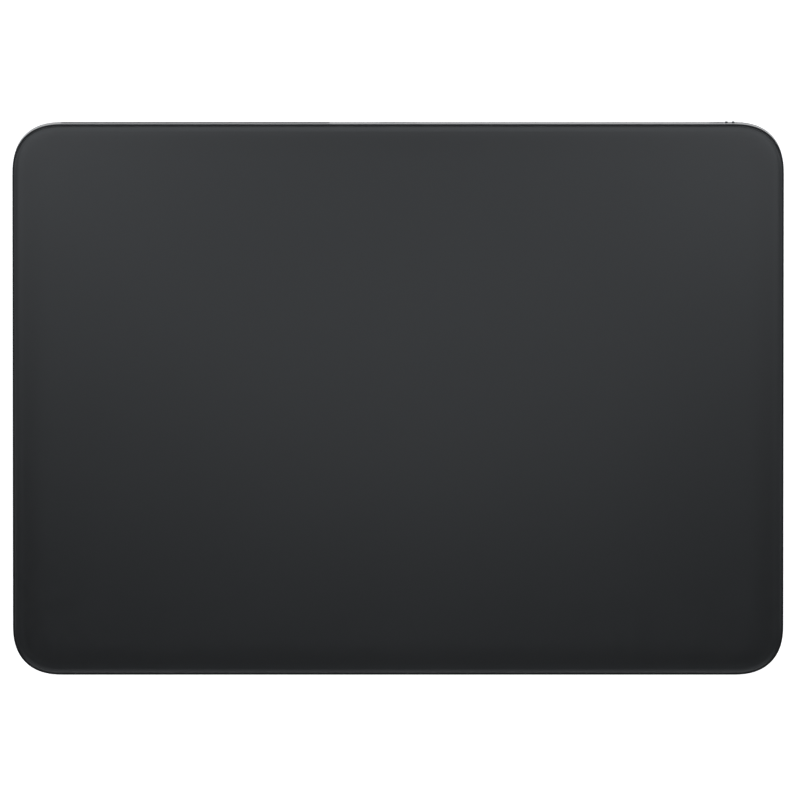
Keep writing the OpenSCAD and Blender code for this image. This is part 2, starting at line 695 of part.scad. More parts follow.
module sensor_adhesive()
    color([0.85, 0.84, 0.78]) on_slope()
        slab(-body_w / 2 + 4.4, body_w / 2 - 4.4, 4.4, slope_l - 4.8, corner_r - 4, w_film, -glass_t);

module sensor_board()
    color([0.07, 0.22, 0.16]) on_slope()
        slab(-body_w / 2 + 4, body_w / 2 - 4, 4, slope_l - 4.4, corner_r - 3.6, w_sensor, w_film);

module touch_controller_chip()
    color([0.08, 0.08, 0.085]) on_slope()
        bx(35, 44, 30.5, 39.5, w_sensor - 0.65, w_sensor);

module sensor_connector()
    color([0.85, 0.82, 0.74]) on_slope()
        bx(17, 31, 36, 39.6, w_sensor - 0.75, w_sensor);

module stiffener_plate()
    color([0.7, 0.71, 0.73]) on_slope() difference() {
        slab(-body_w / 2 + 4.8, body_w / 2 - 4.8, 4.6, slope_l - 5, corner_r - 4.4, w_stiff, w_sensor);
        // windows over the leaf screws
        leaf_places() slab(-leaf_w / 2 - 0.6, leaf_w / 2 + 0.6, 0.4, pad_l + 0.4, 1, w_stiff - 1, w_sensor + 1);
        // window for the connector and the controller
        slab(15.5, 45.5, 29.5, 41, 1, w_stiff - 1, w_sensor + 1);
        for (v = [hap_v0 - 0.9, hap_v0 + hap_l + 0.9])
            translate([0, v, w_stiff - 1]) cylinder(d = 1.4, h = 3);
    }

// ---------------------------------------------------------------- drawing

enclosure();
bottom_cover();
cover_adhesive();
rubber_feet();
battery_cell();
battery_adhesive();
battery_board();
battery_lead();
logic_board();
microcontroller_chip();
radio_chip();
charging_chip();
shield_can();
board_connectors();
board_screws();
touch_flex();
port_shell();
port_insulator();
port_contacts();
port_board();
port_bracket();
port_screws();
port_flex();
switch_backplate();
on_indicator();
switch_can();
switch_board();
switch_screw();
switch_flex();
antenna_window();
antenna_carrier();
antenna_trace();
antenna_coax();
haptic_bracket();
haptic_cores();
haptic_coils();
haptic_screws();
haptic_lead();
flexure_springs();
force_gauges();
flexure_screws();
limit_pads();
flexure_studs();
glass_top();
sensor_adhesive();
sensor_board();
touch_controller_chip();
sensor_connector();
stiffener_plate();
isolators();
armature();
armature_carrier();
armature_screws();
switch_knob();
switch_plunger();
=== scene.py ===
import math

import bmesh
import bpy
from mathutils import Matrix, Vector

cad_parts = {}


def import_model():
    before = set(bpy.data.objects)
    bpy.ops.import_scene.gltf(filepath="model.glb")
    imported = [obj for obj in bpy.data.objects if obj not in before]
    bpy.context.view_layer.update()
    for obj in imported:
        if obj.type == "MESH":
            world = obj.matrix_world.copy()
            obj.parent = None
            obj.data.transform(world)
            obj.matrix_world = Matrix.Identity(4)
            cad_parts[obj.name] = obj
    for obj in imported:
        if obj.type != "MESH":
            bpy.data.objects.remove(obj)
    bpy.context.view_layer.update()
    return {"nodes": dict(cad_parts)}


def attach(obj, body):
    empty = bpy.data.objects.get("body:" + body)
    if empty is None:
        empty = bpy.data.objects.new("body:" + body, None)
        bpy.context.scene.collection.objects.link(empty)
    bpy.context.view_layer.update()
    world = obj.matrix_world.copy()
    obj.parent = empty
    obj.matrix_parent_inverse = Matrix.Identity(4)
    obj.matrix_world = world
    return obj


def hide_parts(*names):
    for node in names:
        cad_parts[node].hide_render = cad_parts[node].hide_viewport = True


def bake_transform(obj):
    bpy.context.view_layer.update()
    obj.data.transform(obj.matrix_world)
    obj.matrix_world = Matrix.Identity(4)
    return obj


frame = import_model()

NODE = frame["nodes"]
scene = bpy.context.scene

# ------------------------------------------------------------------ sizes
# Millimetres, the same as in the CAD source. +X right, +Y rear, +Z up.
W, D = 160.0, 114.9
H_FRONT, H_REAR = 4.9, 10.9
TAN = (H_REAR - H_FRONT) / D
SLOPE = math.atan(TAN)
SIN, COS = math.sin(SLOPE), math.cos(SLOPE)
LONG = D / COS
Z_UNDER, Z_ROOF, Z_FLOOR = 0.5, 1.1, 1.8
W_RIM, W_STIFF, W_ISO, W_STUD, W_LEAF = -1.35, -2.2, -2.6, -2.8, -3.1
GLASS_IN = 0.40
PORT_Y, PORT_Z = 50.12, 4.7
KNOB_X, KNOB_Z = 68.8, 4.7
WIN_X, WIN_L, WIN_H = -42.1, 55.8, 5.0
Y_REAR = D / 2
IN_X, IN_Y0, IN_Y1 = 78.2, -55.65, 55.25
# corners as a squared-off quarter ellipse, fitted to the outline
CORNER_A, CORNER_N = 10.4, 2.41


def under_glass(y, w):
    """height of the plane w under the glass face, at depth y"""
    return H_FRONT + (y + D / 2) * TAN + w / COS


def on_slope(u, v, w):
    """a point given along the glass (u across, v from the front edge, w off the face)"""
    return (u, -D / 2 + v * COS - w * SIN, H_FRONT + v * SIN + w * COS)


# ------------------------------------------------------------------ shapes
class Shape:
    """vertices and faces, in millimetres"""

    def __init__(self):
        self.v, self.f = [], []

    def add(self, verts, faces):
        k = len(self.v)
        self.v += [tuple(p) for p in verts]
        self.f += [tuple(i + k for i in f) for f in faces]
        return self

    def loft(self, rings, first=True, last=True):
        n = len(rings[0])
        faces = []
        for a in range(len(rings) - 1):
            for i in range(n):
                j = (i + 1) % n
                faces.append((a * n + i, a * n + j, (a + 1) * n + j, (a + 1) * n + i))
        if first:
            faces.append(tuple(range(n - 1, -1, -1)))
        if last:
            faces.append(tuple(range((len(rings) - 1) * n, len(rings) * n)))
        return self.add([p for r in rings for p in r], faces)

    def prism(self, low, high):
        """solid between two loops of the same length"""
        return self.loft([low, high])

    def box(self, x0, x1, y0, y1, z0, z1):
        loop = [(x0, y0), (x1, y0), (x1, y1), (x0, y1)]
        return self.prism([(x, y, z0) for x, y in loop], [(x, y, z1) for x, y in loop])

    def lathe(self, place, profile, n=40):
        """profile of (radius, height) turned about the third axis of place"""
        rings = []
        for r, h in profile:
            rings.append(
                [place(r * math.cos(2 * math.pi * i / n), r * math.sin(2 * math.pi * i / n), h) for i in range(n)]
            )
        return self.loft(rings)


def at(x, y, z):
    return lambda a, b, c: (x + a, y + b, z + c)


def at_slope(u, v, w):
    return lambda a, b, c: on_slope(u + a, v + b, w + c)


def facing_rear(x, y, z):
    """third axis runs towards the rear"""
    return lambda a, b, c: (x - a, y + c, z + b)


def outline(x0, x1, y0, y1, a, n=CORNER_N, count=26, sub=(14, 10)):
    """closed loop of (x, y, normal x, normal y), counter-clockwise"""
    quarter = []
    for i in range(count + 1):
        t = math.pi / 2 * i / count
        c, s = abs(math.cos(t)), abs(math.sin(t))
        if i == 0:
            c, s = 1.0, 0.0
        if i == count:
            c, s = 0.0, 1.0
        nx, ny = c ** (2 - 2 / n), s ** (2 - 2 / n)
        k = math.hypot(nx, ny)
        quarter.append((a * c ** (2 / n), a * s ** (2 / n), nx / k, ny / k))
    corners = []
    for cx, cy, sx, sy in (
        (x1 - a, y1 - a, 1, 1),
        (x0 + a, y1 - a, -1, 1),
        (x0 + a, y0 + a, -1, -1),
        (x1 - a, y0 + a, 1, -1),
    ):
        c = [(cx + sx * px, cy + sy * py, sx * nx, sy * ny) for px, py, nx, ny in quarter]
        corners.append(c if sx * sy > 0 else c[::-1])
    loop = []
    for i in range(4):
        loop += corners[i]
        p, q = corners[i][-1], corners[(i + 1) % 4][0]
        m = sub[i % 2]
        for k in range(1, m):
            f = k / m
            loop.append((p[0] + (q[0] - p[0]) * f, p[1] + (q[1] - p[1]) * f, p[2], p[3]))
    return loop


def ring(loop, inset, z):
    out = []
    for x, y, nx, ny in loop:
        px, py = x - nx * inset, y - ny * inset
        out.append((px, py, z(py) if callable(z) else z))
    return out


def stadium(length, height, arc=12, sub=8):
    r, c = height / 2, (length - height) / 2
    out = []
    for side in (1, -1):
        for i in range(arc + 1):
            t = math.pi * i / arc - math.pi / 2
            nx, ny = side * math.cos(t), side * math.sin(t)
            out.append((side * c + r * nx, r * ny, nx, ny))
        for k in range(1, sub):
            out.append((side * c * (1 - 2 * k / sub), side * r, 0.0, side))
    return out


def rounded(length, height, r, arc=6):
    """rounded rectangle about the middle, as (a, b, normal a, normal b)"""
    out = []
    for i in range(4):
        sx, sy = ((1, 1), (-1, 1), (-1, -1), (1, -1))[i]
        for k in range(arc + 1):
            t = math.pi / 2 * (i + k / arc)
            out.append(
                (sx * (length / 2 - r) + r * math.cos(t), sy * (height / 2 - r) + r * math.sin(t), math.cos(t), math.sin(t))
            )
    return out


def loop_at(loop, inset, place, h):
    return [place(a - na * inset, b - nb * inset, h) for a, b, na, nb in loop]


def quarter_turn(steps, power=1.0):
    """angles from 0 to 90 degrees, closer together near 0 for power above 1"""
    return [math.pi / 2 * (i / steps) ** power for i in range(steps + 1)]


def new_object(name, me):
    ob = bpy.data.objects.new(name, me)
    scene.collection.objects.link(ob)
    return ob


def raw(name, shape):
    me = bpy.data.meshes.new(name)
    me.from_pydata([(x / 1000, y / 1000, z / 1000) for x, y, z in shape.v], [], shape.f)
    me.update()
    return new_object(name, me)


def boolean(ob, other, operation):
    md = ob.modifiers.new("boolean", "BOOLEAN")
    md.operation, md.object, md.solver = operation, other, "EXACT"
    dg = bpy.context.evaluated_depsgraph_get()
    me = bpy.data.meshes.new_from_object(ob.evaluated_get(dg))
    ob.modifiers.clear()
    old, ob.data = ob.data, me
    bpy.data.meshes.remove(old)
    mesh = other.data
    bpy.data.objects.remove(other)
    bpy.data.meshes.remove(mesh)


def finish_mesh(ob, material, angle=32.0):
    me = ob.data
    bm = bmesh.new()
    bm.from_mesh(me)
    bmesh.ops.remove_doubles(bm, verts=bm.verts, dist=2e-7)
    bmesh.ops.dissolve_degenerate(bm, edges=bm.edges, dist=2e-7)
    bm.to_mesh(me)
    bm.free()
    for p in me.polygons:
        p.use_smooth = True
    me.set_sharp_from_angle(angle=math.radians(angle))
    me.materials.clear()
    me.materials.append(material)
    wn = ob.modifiers.new("weighted", "WEIGHTED_NORMAL")
    wn.mode, wn.weight, wn.keep_sharp = "FACE_AREA", 50, True
    return ob


# ------------------------------------------------------------------ finishes
class Look:
    """a material built from procedural textures in the part's own metres"""

    def __init__(self, name, **sockets):
        self.m = bpy.data.materials.new(name)
        self.m.use_nodes = True
        self.t = self.m.node_tree
        self.shader = self.t.nodes["Principled BSDF"]
        self.place = self.t.nodes.new("ShaderNodeTexCoord").outputs["Object"]
        for k, v in sockets.items():
            self.shader.inputs[k.replace("_", " ")].default_value = v

    def node(self, kind, links=(), **inputs):
        n = self.t.nodes.new(kind)
        for k, v in inputs.items():
            n.inputs[k.replace("_", " ")].default_value = v
        for k, out in dict(links).items():
            self.t.links.new(out, n.inputs[k])
        return n

    def mapped(self, stretch=(1, 1, 1), turn=(0, 0, 0)):
        n = self.node("ShaderNodeMapping", {"Vector": self.place})
        n.inputs["Scale"].default_value = stretch
        n.inputs["Rotation"].default_value = turn
        return n.outputs["Vector"]

    def noise(self, scale, detail=2.0, roughness=0.5, stretch=(1, 1, 1), distortion=0.0):
        n = self.node(
            "ShaderNodeTexNoise", {"Vector": self.mapped(stretch)},
            Scale=scale, Detail=detail, Roughness=roughness, Distortion=distortion,
        )
        return n.outputs["Fac"]

    def cells(self, scale, stretch=(1, 1, 1), feature="F1", out="Distance", randomness=1.0):
        n = self.node("ShaderNodeTexVoronoi", {"Vector": self.mapped(stretch)}, Scale=scale, Randomness=randomness)
        n.feature = feature
        return n.outputs[out]

    def bands(self, period, axis="X", profile="SIN", distortion=0.0, turn=(0, 0, 0)):
        n = self.node(
            "ShaderNodeTexWave", {"Vector": self.mapped(turn=turn)},
            Scale=math.pi / 10 / period, Distortion=distortion, Detail=1.0,
        )
        n.wave_type, n.bands_direction, n.wave_profile = "BANDS", axis, profile
        return n.outputs["Fac"]

    def bricks(self, scale, width=0.5, height=0.25, mortar=0.02, turn=(0, 0, 0)):
        n = self.node(
            "ShaderNodeTexBrick", {"Vector": self.mapped(turn=turn)},
            Scale=scale, Mortar_Size=mortar, Brick_Width=width, Row_Height=height, Mortar_Smooth=0.1,
        )
        n.offset = 0.37
        n.squash, n.squash_frequency = 1.6, 3
        return n.outputs["Fac"]

    def ramp(self, fac, *stops, kind="LINEAR"):
        n = self.node("ShaderNodeValToRGB", {"Fac": fac})
        r = n.color_ramp
        r.interpolation = kind
        while len(r.elements) < len(stops):
            r.elements.new(0.5)
        for e, (p, c) in zip(r.elements, stops):
            e.position = p
            e.color = (*c, 1.0)
        return n.outputs["Color"]

    def span(self, fac, lo, hi, a=0.3, b=0.7):
        n = self.node("ShaderNodeMapRange", {"Value": fac})
        n.inputs["From Min"].default_value, n.inputs["From Max"].default_value = a, b
        n.inputs["To Min"].default_value, n.inputs["To Max"].default_value = lo, hi
        return n.outputs["Result"]

    def mix(self, fac, a, b):
        n = self.node("ShaderNodeMix")
        n.data_type = "RGBA"
        self.t.links.new(fac, n.inputs[0])
        self.t.links.new(a, n.inputs[6])
        self.t.links.new(b, n.inputs[7])
        return n.outputs[2]

    def times(self, a, b):
        n = self.node("ShaderNodeMix")
        n.data_type, n.blend_type = "RGBA", "MULTIPLY"
        n.inputs[0].default_value = 1.0
        self.t.links.new(a, n.inputs[6])
        self.t.links.new(b, n.inputs[7])
        return n.outputs[2]

    def across(self, axis):
        n = self.node("ShaderNodeSeparateXYZ", {"Vector": self.place})
        return n.outputs[axis]

    def calc(self, operation, *values):
        n = self.t.nodes.new("ShaderNodeMath")
        n.operation = operation
        for i, v in enumerate(values):
            if isinstance(v, float):
                n.inputs[i].default_value = v
            else:
                self.t.links.new(v, n.inputs[i])
        return n.outputs[0]

    def inset(self, half_x, half_y, reach, power):
        """how far a point lies in from the outline's edge, as a share of the corners' reach"""
        parts = []
        for axis, half in (("X", half_x), ("Y", half_y)):
            past = self.calc("SUBTRACT", self.calc("ABSOLUTE", self.across(axis)), half - reach)
            parts.append(self.calc("POWER", self.calc("MAXIMUM", self.calc("DIVIDE", past, reach), 0.0), power))
        return self.calc("SUBTRACT", 1.0, self.calc("POWER", self.calc("ADD", *parts), 1 / power))

    def near(self, point, inner, outer):
        """1 within inner of a point, 0 past outer (metres)"""
        n = self.t.nodes.new("ShaderNodeVectorMath")
        n.operation = "DISTANCE"
        self.t.links.new(self.place, n.inputs[0])
        n.inputs[1].default_value = point
        return self.span(n.outputs["Value"], 1.0, 0.0, inner, outer)

    def bump(self, height, depth, strength=1.0, after=None):
        n = self.node("ShaderNodeBump", {"Height": height}, Strength=strength, Distance=depth)
        if after is not None:
            self.t.links.new(after, n.inputs["Normal"])
        return n.outputs["Normal"]

    def use(self, **sockets):
        for k, out in sockets.items():
            self.t.links.new(out, self.shader.inputs[k.replace("_", " ")])
        return self


def two(lo, hi, a=0.32, b=0.68):
    return (a, lo), (b, hi)


def anodised():
    k = Look("anodised_metal", Metallic=1.0)
    return k.use(
        Base_Color=k.ramp(k.noise(70, 3), *two((0.0215, 0.022, 0.0232), (0.0265, 0.027, 0.0283))),
        Roughness=k.span(k.noise(5200, 2), 0.31, 0.43),
        Normal=k.bump(k.noise(9500, 3, 0.6), 9e-6, 0.30),
    ).m


def satin_knob():
    k = Look("satin_knob", Metallic=1.0)
    grain = k.noise(7000, 3, 0.6)
    return k.use(
        Base_Color=k.ramp(k.noise(420, 3), *two((0.046, 0.047, 0.049), (0.058, 0.059, 0.061))),
        Roughness=k.span(grain, 0.26, 0.36),
        Normal=k.bump(grain, 4e-6, 0.3),
    ).m


def etched_glass():
    k = Look("etched_glass", IOR=1.5)
    # painted shade: the base colour is made a little darker in a soft frame about 3 mm in from the edge, standing in
    # for the darker band of shading along the glass's edges
    edge = k.inset(W / 2000, D / 2000, CORNER_A / 1000, CORNER_N)
    clear, shade_tone = (1.0, 1.0, 1.0), (0.65, 0.65, 0.65)
    edge_shade_paint = k.ramp(edge, (0.18, clear), (0.25, shade_tone), (0.33, shade_tone), (0.75, clear), kind="EASE")
    ink = k.ramp(k.noise(34, 4), *two((0.0068, 0.0073, 0.0078), (0.0080, 0.0086, 0.0091)))
    return k.use(
        # the glass's own dark tone, multiplied by the painted edge shade
        Base_Color=k.times(ink, edge_shade_paint),
        Roughness=k.span(k.noise(620, 4), 0.295, 0.325),
        Normal=k.bump(k.noise(21000, 2), 1.5e-6, 0.18),
    ).m


def moulded_cover():
    k = Look("moulded_cover", IOR=1.49)
    grain = k.noise(5200, 4, 0.62)
    return k.use(
        Base_Color=k.ramp(k.noise(90, 3), *two((0.026, 0.0265, 0.028), (0.033, 0.0335, 0.035))),
        Roughness=k.span(grain, 0.48, 0.62),
        Normal=k.bump(grain, 1.6e-5, 0.55),
    ).m


def rubber():
    k = Look("foot_rubber", IOR=1.46)
    return k.use(
        Base_Color=k.ramp(k.noise(800, 4), *two((0.014, 0.014, 0.0145), (0.023, 0.023, 0.024))),
        Roughness=k.span(k.noise(3000, 3), 0.70, 0.90),
        Normal=k.bump(k.noise(6500, 3), 1.2e-5, 0.5),
    ).m


def steel(name, lo, hi, stretch, rough=(0.22, 0.36), depth=2e-6):
    k = Look(name, Metallic=1.0)
    drawn = k.noise(5200, 3, 0.6, stretch)
    return k.use(
        Base_Color=k.ramp(k.noise(2600, 3, 0.5, stretch), *two(lo, hi)),
        Roughness=k.span(drawn, *rough),
        Normal=k.bump(drawn, depth, 0.4),
    ).m


def gold():
    k = Look("gold_contact", Metallic=1.0)
    worn = k.noise(7000, 3, 0.6, (1, 0.15, 1))
    return k.use(
        Base_Color=k.ramp(worn, *two((0.62, 0.40, 0.13), (0.83, 0.58, 0.24))),
        Roughness=k.span(worn, 0.20, 0.36),
    ).m


def plastic(name, lo, hi, rough=(0.42, 0.56), scale=5200):
    k = Look(name, IOR=1.5)
    grain = k.noise(scale, 3, 0.6)
    return k.use(
        Base_Color=k.ramp(k.noise(340, 3), *two(lo, hi)),
        Roughness=k.span(grain, *rough),
        Normal=k.bump(grain, 6e-6, 0.4),
    ).m


def board(name="circuit_board", scale=190.0):
    k = Look(name, IOR=1.52)
    runs = k.bricks(scale, 0.62, 0.11, 0.018)
    cross = k.bricks(scale * 0.8, 0.9, 0.16, 0.016, (0, 0, math.pi / 2))
    vias = k.cells(900)
    mask = k.ramp(k.noise(160, 3), *two((0.006, 0.030, 0.020), (0.010, 0.042, 0.028)))
    track = k.ramp(runs, (0.0, (0.010, 0.042, 0.028)), (1.0, (0.028, 0.095, 0.060)))
    track2 = k.ramp(cross, (0.0, (0.010, 0.042, 0.028)), (1.0, (0.024, 0.082, 0.054)))
    dots = k.ramp(vias, (0.06, (0.55, 0.42, 0.20)), (0.09, (0.010, 0.042, 0.028)))
    a = k.mix(k.ramp(runs, (0.0, (0, 0, 0)), (1.0, (1, 1, 1))), mask, track)
    b = k.mix(k.ramp(cross, (0.0, (0, 0, 0)), (1.0, (1, 1, 1))), a, track2)
    c = k.mix(k.ramp(vias, (0.06, (1, 1, 1)), (0.09, (0, 0, 0))), b, dots)
    return k.use(
        Base_Color=c,
        Roughness=k.span(k.noise(1500, 3), 0.26, 0.40),
        Normal=k.bump(runs, 1.2e-5, 0.6, k.bump(cross, 1.0e-5, 0.5)),
    ).m


def flex(name, axis):
    k = Look(name, IOR=1.6, Coat_Weight=0.35, Coat_Roughness=0.2)
    lines = k.bands(0.42e-3, axis)
    film = k.ramp(k.noise(260, 3), *two((0.30, 0.115, 0.022), (0.40, 0.165, 0.036)))
    copper = k.ramp(k.noise(1800, 2), *two((0.48, 0.20, 0.055), (0.60, 0.27, 0.085)))
    return k.use(
        Base_Color=k.mix(k.ramp(lines, (0.50, (0, 0, 0)), (0.60, (1, 1, 1))), film, copper),
        Roughness=k.span(k.noise(900, 3), 0.28, 0.42),
        Normal=k.bump(lines, 9e-6, 0.5),
    ).m


def resin(name, corner):
    k = Look(name, IOR=1.55)
    grain = k.noise(9000, 3, 0.6)
    body = k.ramp(k.noise(2600, 4), *two((0.015, 0.015, 0.016), (0.026, 0.026, 0.027)))
    dot = k.ramp(grain, *two((0.07, 0.07, 0.072), (0.10, 0.10, 0.10)))
    mark = k.near([c / 1000 for c in corner], 0.00030, 0.00034)
    return k.use(
        Base_Color=k.mix(mark, body, dot),
        Roughness=k.span(grain, 0.46, 0.64),
        Normal=k.bump(grain, 5e-6, 0.5, k.bump(mark, -4e-5, 0.8)),
    ).m


def winding():
    k = Look("enamelled_wire", Metallic=0.55, Coat_Weight=0.5, Coat_Roughness=0.15)
    turns = k.bands(0.17e-3, "X", distortion=0.25)
    return k.use(
        Base_Color=k.ramp(turns, (0.05, (0.06, 0.018, 0.006)), (0.45, (0.42, 0.150, 0.045)), (1.0, (0.60, 0.245, 0.080))),
        Roughness=k.span(k.noise(2400, 2), 0.24, 0.36),
        Normal=k.bump(turns, 6e-5, 0.9),
    ).m


def laminated():
    k = Look("laminated_steel", Metallic=0.95)
    sheets = k.bands(0.2e-3, "Z", distortion=0.1)
    return k.use(
        Base_Color=k.ramp(sheets, (0.0, (0.10, 0.10, 0.105)), (0.35, (0.30, 0.30, 0.31)), (1.0, (0.36, 0.36, 0.37))),
        Roughness=k.span(k.noise(1900, 3), 0.34, 0.50),
        Normal=k.bump(sheets, 1.5e-5, 0.6),
    ).m


def pouch():
    k = Look("cell_pouch", Metallic=0.35, IOR=1.5)
    creases = k.noise(230, 4, 0.55, (1, 0.5, 1), 0.6)
    foil = k.ramp(k.noise(55, 3), *two((0.30, 0.31, 0.33), (0.38, 0.39, 0.41)))
    tape = k.ramp(k.noise(900, 3), *two((0.020, 0.020, 0.022), (0.032, 0.032, 0.034)))
    end = k.node("ShaderNodeMath", {0: k.across("X")})
    end.operation = "ABSOLUTE"
    return k.use(
        Base_Color=k.mix(k.span(end.outputs[0], 0.0, 1.0, 0.0515, 0.0517), foil, tape),
        Roughness=k.span(creases, 0.34, 0.55),
        Normal=k.bump(creases, 5e-5, 0.35),
    ).m


def film(name, lo, hi):
    k = Look(name, IOR=1.47)
    fibre = k.noise(1300, 4, 0.65, (1, 0.25, 1), 0.4)
    return k.use(
        Base_Color=k.ramp(fibre, *two(lo, hi)),
        Roughness=k.span(fibre, 0.40, 0.62),
        Normal=k.bump(fibre, 8e-6, 0.4),
    ).m


def indicator():
    k = Look("indicator_paint", IOR=1.5)
    return k.use(
        Base_Color=k.ramp(k.noise(5000, 3), *two((0.030, 0.42, 0.085), (0.055, 0.54, 0.125))),
        Roughness=k.span(k.noise(8000, 2), 0.42, 0.58),
    ).m


def jacket():
    k = Look("cable_jacket", IOR=1.5)
    twist = k.bands(0.5e-3, "DIAGONAL")
    return k.use(
        Base_Color=k.ramp(k.noise(1500, 3), *two((0.020, 0.020, 0.021), (0.034, 0.034, 0.035))),
        Roughness=k.span(k.noise(4000, 3), 0.40, 0.55),
        Normal=k.bump(twist, 8e-6, 0.3),
    ).m


FINISH = {
    "anodised": anodised(),
    "glass": etched_glass(),
    "cover": moulded_cover(),
    "rubber": rubber(),
    "port_steel": steel("port_steel", (0.29, 0.29, 0.288), (0.38, 0.378, 0.373), (1, 0.08, 1)),
    "can_steel": steel("can_steel", (0.44, 0.445, 0.45), (0.56, 0.565, 0.57), (0.1, 1, 1)),
    "bracket_steel": steel("bracket_steel", (0.40, 0.405, 0.41), (0.52, 0.525, 0.53), (0.08, 1, 1), (0.28, 0.42)),
    "screw_steel": steel("screw_steel", (0.34, 0.34, 0.345), (0.50, 0.50, 0.505), (1, 1, 0.2), (0.24, 0.40)),
    "spring_steel": steel("spring_steel", (0.42, 0.42, 0.415), (0.55, 0.55, 0.54), (1, 0.06, 1), (0.20, 0.32)),
    "plate_steel": steel("plate_steel", (0.36, 0.365, 0.375), (0.47, 0.475, 0.485), (0.05, 1, 1), (0.30, 0.44)),
    "bar_steel": steel("bar_steel", (0.22, 0.222, 0.228), (0.32, 0.322, 0.33), (1, 0.1, 1), (0.30, 0.46)),
    "gold": gold(),
    "black_plastic": plastic("black_plastic", (0.012, 0.012, 0.013), (0.019, 0.019, 0.020)),
    "carrier_plastic": plastic("carrier_plastic", (0.030, 0.030, 0.031), (0.045, 0.045, 0.046)),
    "window": plastic("window_plastic", (0.013, 0.0133, 0.014), (0.018, 0.0184, 0.0192), (0.72, 0.84)),
    "knob": satin_knob(),
    "ivory_plastic": plastic("ivory_plastic", (0.56, 0.52, 0.42), (0.66, 0.62, 0.52)),
    "pale_plastic": plastic("pale_plastic", (0.52, 0.52, 0.49), (0.62, 0.62, 0.58)),
    "silicone": plastic("silicone", (0.070, 0.072, 0.076), (0.10, 0.102, 0.108), (0.50, 0.66), 3600),
    "pad": plastic("pad_elastomer", (0.018, 0.018, 0.018), (0.030, 0.030, 0.030), (0.66, 0.84), 4200),
    "board": board(),
    "sensor_board": board("sensor_laminate", 120.0),
    "flex_x": flex("flex_film_x", "X"),
    "flex_y": flex("flex_film_y", "Y"),
    "winding": winding(),
    "laminated": laminated(),
    "pouch": pouch(),
    "adhesive": film("adhesive_film", (0.50, 0.49, 0.43), (0.64, 0.63, 0.57)),
    "tape": film("stretch_tape", (0.70, 0.70, 0.66), (0.80, 0.80, 0.77)),
    "indicator": indicator(),
    "jacket": jacket(),
    "gauge": flex("gauge_foil", "X"),
    "chip_a": resin("chip_resin_a", (-11.3, -28.7, 3.3)),
    "chip_b": resin("chip_resin_b", (-30.4, -25.6, 3.25)),
    "chip_c": resin("chip_resin_c", (2.6, -29.6, 3.3)),
    "chip_d": resin("chip_resin_d", on_slope(36.0, 31.5, -2.35)),
}


